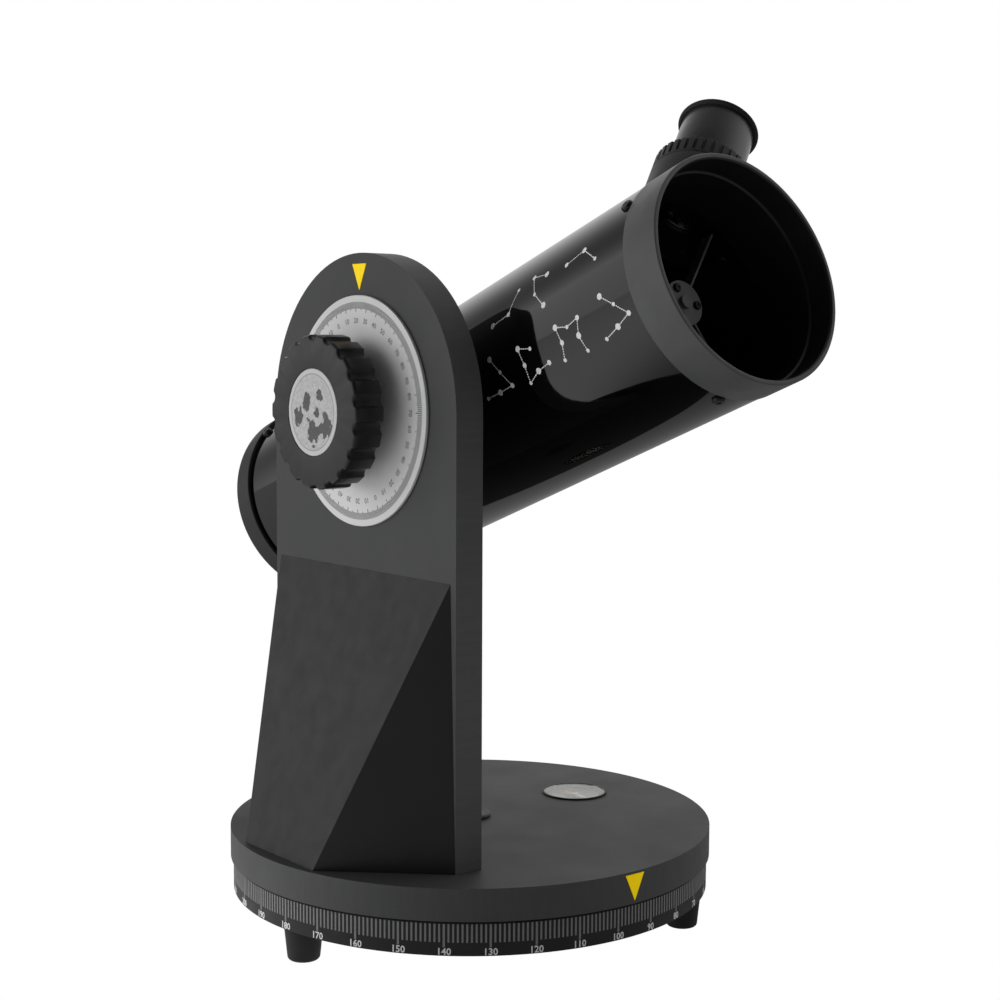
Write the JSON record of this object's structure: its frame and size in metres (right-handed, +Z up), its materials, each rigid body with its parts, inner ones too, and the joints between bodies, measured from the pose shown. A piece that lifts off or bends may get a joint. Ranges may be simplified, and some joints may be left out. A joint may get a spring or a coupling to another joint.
{
  "type": "newtonian reflector telescope",
  "caption": "Tabletop Newtonian reflector on a one-armed turntable base, with a clamp knob, setting dials, a compass and a side focuser with eyepiece.",
  "frame": {"origin": "on the table under the feet, on the azimuth axis", "axes": "+Z up along the azimuth axis; the altitude axis runs along X, the arm stands on the -X side and the open end of the tube points to -Y"},
  "size_m": [0.24, 0.3648, 0.402],
  "materials": {
    "board": "charcoal melamine laminate, satin",
    "scale_print": "printed plastic band",
    "rubber": "matte rubber",
    "steel": "zinc plated steel",
    "nylon": "natural nylon",
    "black_plastic": "moulded black plastic, fine texture",
    "brace_plastic": "smooth charcoal shell",
    "yellow_film": "yellow film",
    "compass_card": "printed silver card",
    "clear": "clear",
    "needle": "red and white needle",
    "brass": "turned brass",
    "tube_gloss": "gloss black lacquer",
    "flat_black": "flat black",
    "mirror": "aluminised glass",
    "felt": "cork pad",
    "dial_print": "printed light grey dial",
    "label_print": "printed light grey disc",
    "eyepiece_black": "satin black",
    "chromed": "chromed barrel",
    "black_screw": "blackened steel"
  },
  "bodies": {
    "ground_base": {"ground_board": "board", "azimuth_scale_band": "scale_print", "rubber_feet": "rubber", "foot_studs": "steel", "glide_pads": "nylon", "azimuth_bolt": "steel", "azimuth_washer": "steel", "azimuth_lock_nut": "steel", "pivot_cap": "black_plastic"},
    "turntable": {"turntable_board": "board", "azimuth_bush": "nylon", "base_pointer": "yellow_film", "arm_panel": "board", "arm_screws": "steel", "arm_brace": "brace_plastic", "brace_screws": "steel", "arm_pointer": "yellow_film", "altitude_bush": "nylon", "compass_case": "black_plastic", "compass_card": "compass_card", "compass_pivot": "brass", "compass_lens": "clear"},
    "compass_rotor": {"compass_needle": "needle"},
    "optical_tube": {"tube_shell": "tube_gloss", "front_collar": "black_plastic", "front_collar_screws": "black_screw", "spider": "flat_black", "secondary_holder": "flat_black", "secondary_mirror": "mirror", "collimation_screws": "black_screw", "rear_cell": "black_plastic", "rear_cell_screws": "black_screw", "primary_mirror": "mirror", "mirror_pads": "felt", "mirror_clips": "flat_black", "mirror_clip_screws": "steel", "tube_bracket": "black_plastic", "bracket_screws": "steel", "altitude_axle": "steel", "friction_washer": "nylon", "setting_circle": "dial_print", "focuser_base": "black_plastic", "focuser_screws": "black_screw", "focus_guide_screw": "black_screw"},
    "clamp_knob": {"altitude_knob": "black_plastic", "knob_insert": "brass", "knob_label": "label_print"},
    "focus_wheel": {"focus_ring": "black_plastic"},
    "focus_tube": {"drawtube": "eyepiece_black"},
    "eyepiece": {"eyepiece_barrel": "chromed", "eyepiece_body": "eyepiece_black", "eyecup": "rubber", "field_lens": "clear", "lens_spacer": "flat_black", "eye_lens": "clear", "lens_retainer": "flat_black"}
  },
  "joints": [
    {"name": "azimuth", "type": "hinge", "parent": "ground_base", "child": "turntable", "pos_m": [0, 0, 0.0395], "axis": [0, 0, 1], "continuous": true},
    {"name": "altitude", "type": "hinge", "parent": "turntable", "child": "optical_tube", "pos_m": [-0.0597, 0, 0.2528], "axis": [-1, 0, 0], "range_deg": [-20.7, 69.3]},
    {"name": "clamp_turn", "type": "hinge", "parent": "optical_tube", "child": "clamp_knob", "pos_m": [-0.0867, 0, 0.2528], "axis": [-1, 0, 0], "range_deg": [0, 360]},
    {"name": "focus_turn", "type": "hinge", "parent": "optical_tube", "child": "focus_wheel", "pos_m": [0.06966, -0.08693, 0.36222], "axis": [0.6157, 0.2785, 0.7371], "range_deg": [-270, 90]},
    {"name": "focus_slide", "type": "slide", "parent": "optical_tube", "child": "focus_tube", "axis": [0.6157, 0.2785, 0.7371], "range_m": [-0.003, 0.009]},
    {"name": "eyepiece_slide", "type": "slide", "parent": "focus_tube", "child": "eyepiece", "axis": [0.6157, 0.2785, 0.7371], "range_m": [0, 0.02]},
    {"name": "compass_swing", "type": "hinge", "parent": "turntable", "child": "compass_rotor", "pos_m": [0.072, 0.002, 0.0455], "axis": [0, 0, 1], "continuous": true}
  ],
  "couplings": [
    {"joint": "focus_turn", "follows": "focus_slide", "rad_per_m": -523.59}
  ]
}
